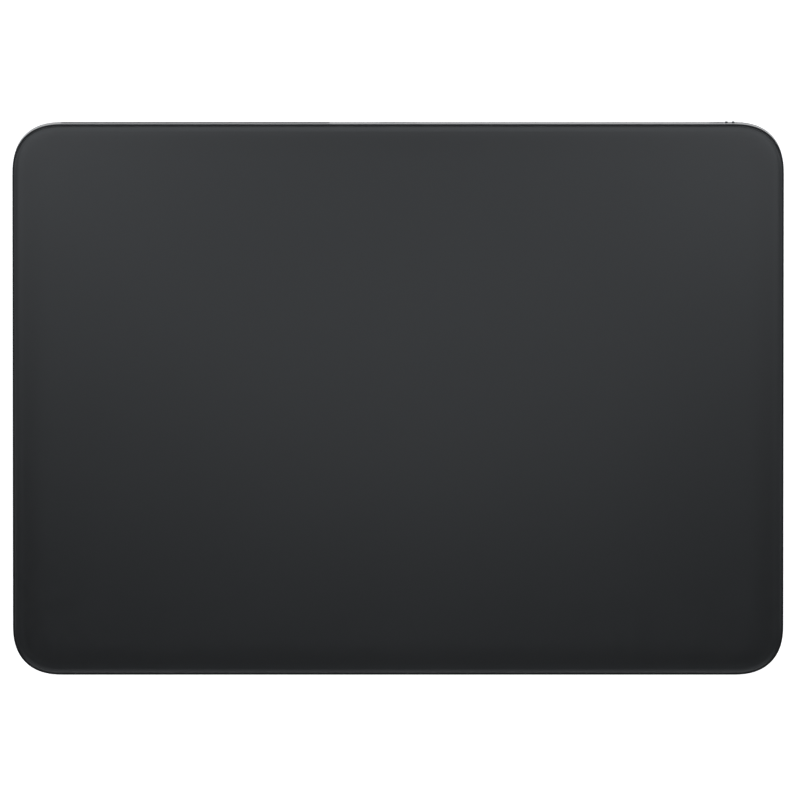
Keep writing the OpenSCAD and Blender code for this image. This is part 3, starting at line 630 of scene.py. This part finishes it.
# ------------------------------------------------------------------ enclosure
def enclosure():
    outer = outline(-W / 2, W / 2, -D / 2, D / 2, CORNER_A)
    inner = outline(-IN_X, IN_X, IN_Y0, IN_Y1, CORNER_A - 1.8)

    def rim(down):
        return lambda y: under_glass(y, W_RIM) - down

    rings = [ring(outer, 3.9, Z_ROOF), ring(outer, 3.9, Z_UNDER + 0.10), ring(outer, 3.80, Z_UNDER)]
    lower = 1.2
    for t in quarter_turn(10):
        rings.append(ring(outer, lower - lower * math.sin(t), Z_UNDER + lower - lower * math.cos(t)))
    r = 0.11
    for t in quarter_turn(8):
        rings.append(ring(outer, r - r * math.cos(t), rim(r - r * math.sin(t))))
    rings.append(ring(inner, -0.12, rim(0.0)))
    rings.append(ring(inner, 0.0, rim(0.12)))
    f = 0.4
    for t in quarter_turn(5):
        rings.append(ring(inner, f - f * math.cos(t), Z_FLOOR + f - f * math.sin(t)))
    ob = raw("enclosure_shell", Shape().loft(rings))

    add = Shape()
    low = Z_FLOOR - 0.3
    for s in (-1, 1):
        for v0, d in ((8.0, 1), (92.0, -1)):
            u0, u1 = s * 68.5 - 6.5, s * 68.5 + 6.5
            va, vb = sorted((v0 - d * 4.4, v0 + d * 6.0))
            c = 0.15
            loop = [(u0, va), (u1, va), (u1, vb), (u0, vb)]
            mid = [((u0 + u1) / 2, (va + vb) / 2)] * 4
            inset = [(a - math.copysign(c, a - m[0]), b - math.copysign(c, b - m[1])) for (a, b), m in zip(loop, mid)]
            up = [on_slope(a, b, W_LEAF) for a, b in inset]
            side = [on_slope(a, b, W_LEAF - c) for a, b in loop]
            foot = [(x, y, low) for x, y, z in side]
            add.loft([foot, side, up])
        for v in (50.5, 65.5):
            x, y, _ = on_slope(s * 21, v, 0)
            n = 32
            loop = [(x + 2.2 * math.cos(2 * math.pi * i / n), y + 2.2 * math.sin(2 * math.pi * i / n)) for i in range(n)]
            tip = [(x + 2.1 * math.cos(2 * math.pi * i / n), y + 2.1 * math.sin(2 * math.pi * i / n)) for i in range(n)]
            add.loft([
                [(a, b, low) for a, b in loop],
                [(a, b, under_glass(b, -5.45) - 0.1) for a, b in loop],
                [(a, b, under_glass(b, -5.45)) for a, b in tip],
            ])
        for y in (-41, -20):
            add.lathe(at(s * 43, y, 0), [(2.0, low), (2.0, 2.0), (1.9, 2.1)], 32)
        add.lathe(at(s * 9, 51, 0), [(1.8, low), (1.8, 2.37), (1.7, 2.47)], 32)
    add.lathe(at(60.2, 51.6, 0), [(1.7, low), (1.7, 2.6), (1.6, 2.7)], 32)
    add.box(64, 69, 50.4, 53, low, 2.7)
    boolean(ob, raw("bosses", add), "UNION")

    cut = Shape()

    def mouth(loop, place, r, steps=6):
        rings = [loop_at(loop, 0, place, -5.0)]
        for t in quarter_turn(steps)[:-1]:
            rings.append(loop_at(loop, -(r - r * math.cos(t)), place, -r + r * math.sin(t)))
        rings.append(loop_at(loop, -r * 0.995, place, 0.02))
        rings.append(loop_at(loop, -r * 0.995, place, 1.0))
        return rings

    cut.loft(mouth(stadium(9.06, 3.38, 16), facing_rear(0, Y_REAR, PORT_Z), 0.06))
    cut.loft(mouth(stadium(5.9, 2.0, 14), facing_rear(67.5, Y_REAR, KNOB_Z), 0.12))
    # pocket of the antenna window, with a smaller opening behind it
    place = facing_rear(WIN_X, Y_REAR, PORT_Z)
    pocket = mouth(rounded(WIN_L, WIN_H, 1.2, 8), place, 0.05, 3)
    behind = rounded(WIN_L - 2, WIN_H - 2, 0.63, 8)
    pocket[0] = loop_at(rounded(WIN_L, WIN_H, 1.2, 8), 0, place, -1.2)
    cut.loft([loop_at(behind, 0, place, -3.0), loop_at(behind, 0, place, -1.2)] + pocket)
    boolean(ob, raw("openings", cut), "DIFFERENCE")

    holes = Shape()
    for s in (-1, 1):
        for v0, d in ((8.0, 1), (92.0, -1)):
            for k in (-1, 1):
                holes.lathe(at_slope(s * 68.5 + k * 4, v0 + d * 3, W_LEAF), [(0.8, -1.05), (0.8, 0.6)], 20)
        for v in (50.5, 65.5):
            holes.lathe(at_slope(s * 21, v, -5.45), [(0.7, -0.85), (0.7, 0.6)], 20)
        for y in (-41, -20):
            holes.lathe(at(s * 43, y, 0), [(0.7, 1.3), (0.7, 3.3)], 20)
        holes.lathe(at(s * 9, 51, 0), [(0.7, 1.47), (0.7, 3.4)], 20)
    holes.lathe(at(60.2, 51.6, 0), [(0.7, 1.5), (0.7, 3.4)], 20)
    boolean(ob, raw("threads", holes), "DIFFERENCE")
    return ob


shell = finish_mesh(enclosure(), FINISH["anodised"])
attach(shell, "base")
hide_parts("enclosure")


# ------------------------------------------------------------------ antenna window
def window():
    place = facing_rear(WIN_X, Y_REAR, PORT_Z)
    front, step = rounded(WIN_L - 0.06, WIN_H - 0.06, 1.17, 8), rounded(WIN_L - 2.06, WIN_H - 2.06, 0.6, 8)
    rings = [
        loop_at(step, 0.05, place, -2.2), loop_at(step, 0.0, place, -2.15), loop_at(step, 0.0, place, -1.2),
        loop_at(front, 0.05, place, -1.2), loop_at(front, 0.0, place, -1.15),
    ]
    r = 0.04
    for t in quarter_turn(5):
        rings.append(loop_at(front, r - r * math.cos(t), place, -r + r * math.sin(t)))
    rings.append(loop_at(front, 0.25, place, 0.0))
    return raw("antenna_insert", Shape().loft(rings))


insert = finish_mesh(window(), FINISH["window"])
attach(insert, "base")
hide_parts("antenna_window")


# ------------------------------------------------------------------ glass
def glass():
    line = outline(-W / 2, W / 2, 0.0, LONG, CORNER_A)

    def level(inset, w):
        return [on_slope(u - nu * inset, v - nv * inset, w) for u, v, nu, nv in line]

    wide, drop, reach = 1.3, 0.34, 6.9

    def roll(inset):
        """the face falls away very slightly towards its edge"""
        return -0.002 * max(reach - inset, 0.0) ** 2

    rings = [level(GLASS_IN + 3.0, -1.0), level(GLASS_IN + 0.12, -1.0), level(GLASS_IN, -0.88)]
    turn = quarter_turn(18, 1.35)[5:]
    start = wide * (1 - math.cos(turn[0]))
    for t in turn:
        inset = GLASS_IN + wide * (1 - math.cos(t)) - start
        rings.append(level(inset, -drop + drop * math.sin(t) + roll(inset)))
    last = GLASS_IN + wide - start
    for i in range(1, 10):
        inset = last + (reach - last) * i / 9
        rings.append(level(inset, roll(inset)))
    return raw("glass_plate", Shape().loft(rings))


plate = finish_mesh(glass(), FINISH["glass"], 40)
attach(plate, "touch_plate")
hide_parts("glass_top")


# ------------------------------------------------------------------ underside
def cover():
    outer = outline(-W / 2, W / 2, -D / 2, D / 2, CORNER_A)
    rings = [ring(outer, 4.16, Z_UNDER)]
    for t in quarter_turn(4):
        rings.append(ring(outer, 4.12 - 0.12 * math.sin(t), Z_UNDER + 0.12 - 0.12 * math.cos(t)))
    rings.append(ring(outer, 4.0, 0.96))
    rings.append(ring(outer, 4.04, 1.0))
    ob = raw("underside_cover", Shape().loft(rings))
    cut = Shape()
    for x in (-66, 66):
        for y in (-44, 44):
            cut.lathe(at(x, y, 0), [(4.25, 0.3), (4.22, 0.5), (4.1, 0.62), (4.1, 1.4)], 56)
    boolean(ob, raw("foot_holes", cut), "DIFFERENCE")
    return ob


base_cover = finish_mesh(cover(), FINISH["cover"])
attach(base_cover, "base")
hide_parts("bottom_cover")

foot = Shape()
for fx in (-66, 66):
    for fy in (-44, 44):
        prof = [(1.2, 0.012), (2.6, 0.0), (3.45, 0.0)]
        prof += [(3.45 + 0.55 * math.sin(t), 0.55 - 0.55 * math.cos(t)) for t in quarter_turn(7)[1:]]
        prof += [(4.0, 1.04), (3.94, 1.1)]
        foot.lathe(at(fx, fy, 0), prof, 56)
feet = finish_mesh(raw("feet", foot), FINISH["rubber"])
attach(feet, "base")
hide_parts("rubber_feet")


# ------------------------------------------------------------------ power switch knob
def knob():
    place = facing_rear(KNOB_X, Y_REAR, KNOB_Z)
    loop = stadium(2.9, 1.7, 14, 18)
    face = -0.02

    def dish(a):
        """how far the face is hollowed between the ridges"""
        k = abs(a) / 0.50
        return 0.06 * (1 - k * k) ** 2 if k < 1 else 0.0

    rings = [loop_at(loop, 0.05, place, -2.0), loop_at(loop, 0.0, place, -1.95)]
    for t in quarter_turn(6):
        rings.append(loop_at(loop, 0.14 - 0.14 * math.cos(t), place, face - 0.14 + 0.14 * math.sin(t)))
    for inset in (0.18, 0.26, 0.36):
        level = []
        for a, b, na, nb in loop:
            pa, pb = a - na * inset, b - nb * inset
            level.append(place(pa, pb, face - dish(pa) * min(1.0, (inset - 0.14) / 0.22)))
        rings.append(level)
    shape = Shape().loft(rings, True, False)
    # face closed with strips that run across, from one long side to the other
    n, mid = len(loop), 7
    for j in range(n // 2):
        strip = [(mid + k) % n for k in (j, j + 1, -j - 1, -j)]
        shape.f.append(tuple((len(rings) - 1) * n + k for k in dict.fromkeys(strip)))
    ob = raw("slider_knob", shape)
    add = Shape()
    for s in (-1, 1):
        bar = stadium(1.24, 0.56, 10, 4)
        stand = lambda a, b, c, s=s: (KNOB_X + s * 0.71 + b, Y_REAR + c, KNOB_Z + a)
        r, out = 0.08, 0.30
        levels = [loop_at(bar, 0.0, stand, -0.32), loop_at(bar, 0.0, stand, out - r)]
        for t in quarter_turn(6)[1:]:
            levels.append(loop_at(bar, r - r * math.cos(t), stand, out - r + r * math.sin(t)))
        add.loft(levels)
    stem = rounded(1.0, 0.4, 0.06, 3)
    add.loft([loop_at(stem, 0.04, place, -4.45), loop_at(stem, 0.0, place, -4.41), loop_at(stem, 0.0, place, -1.9)])
    boolean(ob, raw("ridges", add), "UNION")
    return ob


slider = finish_mesh(knob(), FINISH["knob"])
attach(slider, "power_slider")
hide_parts("switch_knob")


# ------------------------------------------------------------------ charging port
def port_sleeve():
    place = facing_rear(0, PORT_Y, PORT_Z)
    out, ins = stadium(8.94, 3.26, 16), stadium(8.34, 2.66, 16)
    long = 7.3
    r = 0.15
    rings = [loop_at(out, 0, place, 0.0)]
    for t in quarter_turn(4):
        rings.append(loop_at(out, r - r * math.cos(t), place, long - r + r * math.sin(t)))
    for t in quarter_turn(4)[::-1]:
        rings.append(loop_at(ins, -(r - r * math.cos(t)), place, long - r + r * math.sin(t)))
    rings.append(loop_at(ins, 0, place, 0.0))
    rings.append(rings[0])
    shape = Shape()
    return raw("port_sleeve", shape.loft(rings, False, False))


sleeve = finish_mesh(port_sleeve(), FINISH["port_steel"])
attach(sleeve, "base")
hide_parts("port_shell")


def port_block():
    place = facing_rear(0, PORT_Y, PORT_Z)
    back = stadium(8.30, 2.62, 16)
    ob = raw("port_block", Shape().loft([
        loop_at(back, 0.0, place, 0.0), loop_at(back, 0.0, place, 1.54), loop_at(back, 0.06, place, 1.6),
    ]))
    tongue = rounded(6.69, 0.70, 0.20, 5)
    boolean(ob, raw("tongue", Shape().loft([
        loop_at(tongue, 0.0, place, 1.5), loop_at(tongue, 0.0, place, 5.98),
        loop_at(tongue, 0.05, place, 6.13), loop_at(tongue, 0.16, place, 6.2),
    ])), "UNION")
    return ob


block = finish_mesh(port_block(), FINISH["black_plastic"])
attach(block, "base")
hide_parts("port_insulator")


# ------------------------------------------------------------------ flexing pieces
def cut_copy(node, name, keep, planes):
    """a copy of a CAD node's mesh, welded, kept where keep(centre) is true, with extra cuts so that it can bend"""
    bm = bmesh.new()
    bm.from_mesh(NODE[node].data)
    bmesh.ops.remove_doubles(bm, verts=bm.verts, dist=1e-6)
    gone = [f for f in bm.faces if not keep(f.calc_center_median())]
    bmesh.ops.delete(bm, geom=gone, context="FACES")
    bmesh.ops.delete(bm, geom=[v for v in bm.verts if not v.link_faces], context="VERTS")
    bmesh.ops.dissolve_limit(bm, angle_limit=math.radians(0.5), verts=bm.verts, edges=bm.edges)
    for point, normal in planes:
        bmesh.ops.bisect_plane(
            bm, geom=bm.verts[:] + bm.edges[:] + bm.faces[:], dist=1e-7, plane_co=point, plane_no=normal
        )
    bmesh.ops.recalc_face_normals(bm, faces=bm.faces)
    bmesh.ops.triangulate(bm, faces=bm.faces, quad_method="BEAUTY", ngon_method="BEAUTY")
    me = bpy.data.meshes.new(name)
    bm.to_mesh(me)
    bm.free()
    return new_object(name, me)


along = Vector((0.0, COS, SIN))


def metres(u, v, w):
    return Vector(on_slope(u, v, w)) / 1000


for name, v0, d, keep in (
    ("springs_front", 8.0, 1, lambda c: c.y < 0),
    ("springs_rear", 92.0, -1, lambda c: c.y > 0),
):
    cuts = [(metres(0, v0 + d * k, W_LEAF), along) for k in (6.6, 7.6, 8.8, 10.0, 11.0, 12.0, 13.2, 14.4, 15.4)]
    leaf = finish_mesh(cut_copy("flexure_springs", name, keep, cuts), FINISH["spring_steel"])
    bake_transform(leaf)
    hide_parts("flexure_springs")

pads = Shape()
for s in (-1, 1):
    for v in (8.0 + 19.0, 92.0 - 19.0):
        prof = [(2.40, 0.0), (2.50, 0.03), (2.46, 0.10), (2.42, 0.20), (2.46, 0.30), (2.50, 0.37), (2.40, 0.40)]
        pads.lathe(at_slope(s * 68.5, v, W_ISO), prof, 36)
isolator = finish_mesh(raw("isolator_pads", pads), FINISH["silicone"], 60)
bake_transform(isolator)
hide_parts("isolators")

cuts = [(Vector((0, y / 1000, 0)), Vector((0, 1, 0))) for y in (-22.6, -23.8, -24.3, -24.9, -26.0, -27.4, -28.4)]
ribbon = finish_mesh(cut_copy("touch_flex", "touch_ribbon", lambda c: True, cuts), FINISH["flex_x"])
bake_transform(ribbon)
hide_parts("touch_flex")


# ------------------------------------------------------------------ CAD pieces carried over
CARRIED = {
    "cover_adhesive": "adhesive", "battery_cell": "pouch", "battery_adhesive": "tape", "battery_board": "board",
    "battery_lead": "flex_x", "logic_board": "board", "microcontroller_chip": "chip_a", "radio_chip": "chip_b",
    "charging_chip": "chip_c", "shield_can": "can_steel", "board_connectors": "ivory_plastic",
    "board_screws": "screw_steel", "port_contacts": "gold", "port_board": "board", "port_bracket": "bracket_steel",
    "port_screws": "screw_steel", "port_flex": "flex_y", "switch_backplate": "black_plastic",
    "on_indicator": "indicator", "switch_can": "can_steel", "switch_board": "board", "switch_screw": "screw_steel",
    "switch_flex": "flex_y", "antenna_carrier": "carrier_plastic", "antenna_trace": "gold", "antenna_coax": "jacket",
    "haptic_bracket": "bracket_steel", "haptic_cores": "laminated", "haptic_coils": "winding",
    "haptic_screws": "screw_steel", "haptic_lead": "flex_x", "force_gauges": "gauge", "flexure_screws": "screw_steel",
    "limit_pads": "pad", "flexure_studs": "screw_steel", "sensor_adhesive": "adhesive",
    "sensor_board": "sensor_board", "touch_controller_chip": "chip_d", "sensor_connector": "ivory_plastic",
    "stiffener_plate": "plate_steel", "armature": "bar_steel", "armature_carrier": "bracket_steel",
    "armature_screws": "screw_steel", "switch_plunger": "pale_plastic",
}
for node, finish in CARRIED.items():
    me = NODE[node].data
    me.materials.clear()
    me.materials.append(FINISH[finish])


# ------------------------------------------------------------------ studio
def floor():
    ob = raw("floor", Shape().add(
        [(-9000, -9000, 0), (9000, -9000, 0), (9000, 9000, 0), (-9000, 9000, 0)], [(0, 1, 2, 3)]
    ))
    k = Look("floor_paper", Specular_IOR_Level=0.0, Roughness=0.9)
    k.shader.inputs["Emission Color"].default_value = (1, 1, 1, 1)
    k.shader.inputs["Emission Strength"].default_value = 0.85
    k.use(Base_Color=k.ramp(k.noise(4, 2), *two((0.83, 0.83, 0.83), (0.85, 0.85, 0.85))))
    out = k.t.nodes["Material Output"]
    side = k.t.nodes.new("ShaderNodeNewGeometry")
    clear = k.t.nodes.new("ShaderNodeBsdfTransparent")
    both = k.t.nodes.new("ShaderNodeMixShader")
    k.t.links.new(side.outputs["Backfacing"], both.inputs[0])
    k.t.links.new(k.shader.outputs[0], both.inputs[1])
    k.t.links.new(clear.outputs[0], both.inputs[2])
    k.t.links.new(both.outputs[0], out.inputs["Surface"])
    ob.data.materials.append(k.m)


def softbox(name, place, aim, size, power, spread=180):
    light = bpy.data.lights.new(name, "AREA")
    light.shape = "RECTANGLE"
    light.size, light.size_y = size
    light.energy = power
    light.spread = math.radians(spread)
    ob = new_object(name, light)
    ob.location = place
    ob.rotation_euler = (Vector(aim) - Vector(place)).to_track_quat("-Z", "Y").to_euler()
    ob.visible_camera = False
    light.color = (0.937, 0.983, 1.035)
    return ob


def world():
    w = bpy.data.worlds.new("studio")
    scene.world = w
    w.use_nodes = True
    t = w.node_tree
    back = t.nodes["Background"]
    co = t.nodes.new("ShaderNodeTexCoord")
    sep = t.nodes.new("ShaderNodeSeparateXYZ")
    ramp = t.nodes.new("ShaderNodeValToRGB")
    t.links.new(co.outputs["Generated"], sep.inputs[0])
    t.links.new(sep.outputs["Z"], ramp.inputs[0])
    stops = ((0.0, 0.62), (0.05, 0.45), (0.15, 0.33), (0.45, 0.08), (0.95, 0.03))
    r = ramp.color_ramp
    while len(r.elements) < len(stops):
        r.elements.new(0.5)
    for e, (p, c) in zip(r.elements, stops):
        e.position = p
        e.color = (c, c, c * 1.01, 1)
    t.links.new(ramp.outputs["Color"], back.inputs["Color"])
    back.inputs["Strength"].default_value = 1.0


floor()
world()
OVERHEAD = 0.36
softbox("top_rear", (0.0, 0.175, OVERHEAD), (0.0, 0.175, 0.0), (0.12, 0.30), 0.170)
softbox("top_front", (0.0, -0.05, OVERHEAD), (0.0, -0.05, 0.0), (0.12, 0.05), 0.0344)
softbox("front_high", (0.0, -0.6, 1.0392), (0.0, 0.0, 0.0), (1.4, 0.2), 0.86)
softbox("front_low", (0.0, -0.9193, 0.7713), (0.0, 0.0, 0.0), (1.4, 0.2), 2.2)
softbox("rear_fill", (0.0, 0.9, 0.8), (0.0, 0.0, 0.0), (1.4, 0.3), 1.0)
for s, side in ((-1, "left"), (1, "right")):
    softbox("top_" + side, (s * 0.12, 0.025, OVERHEAD), (s * 0.12, 0.025, 0.0), (0.12, 0.10), 0.083)
    softbox("top_outer_" + side, (s * 0.25, 0.0, OVERHEAD), (s * 0.25, 0.0, 0.0), (0.14, 0.15), 0.0366)
    softbox("fill_" + side, (s * 1.0392, 0.0, 0.6), (0.0, 0.0, 0.0), (0.3, 1.2), 1.66)
    softbox("corner_" + side, (s * 0.23, 0.19, OVERHEAD), (s * 0.23, 0.19, 0.0), (0.34, 0.22), 0.36)

cam = bpy.data.cameras.new("camera")
cam.type = "PERSP"
cam.sensor_width = 36.0
cam.lens = 1500.0
cam.clip_start, cam.clip_end = 0.05, 60.0
eye = new_object("camera", cam)
tilt = math.radians(3.7)
aim = Vector((0.00039, -0.0001, 0.006))
eye.location = aim + 6.918 * Vector((0, math.sin(tilt), math.cos(tilt)))
eye.rotation_euler = (-tilt, 0, 0)
scene.camera = eye

scene.view_settings.view_transform = "Standard"
scene.view_settings.look = "None"
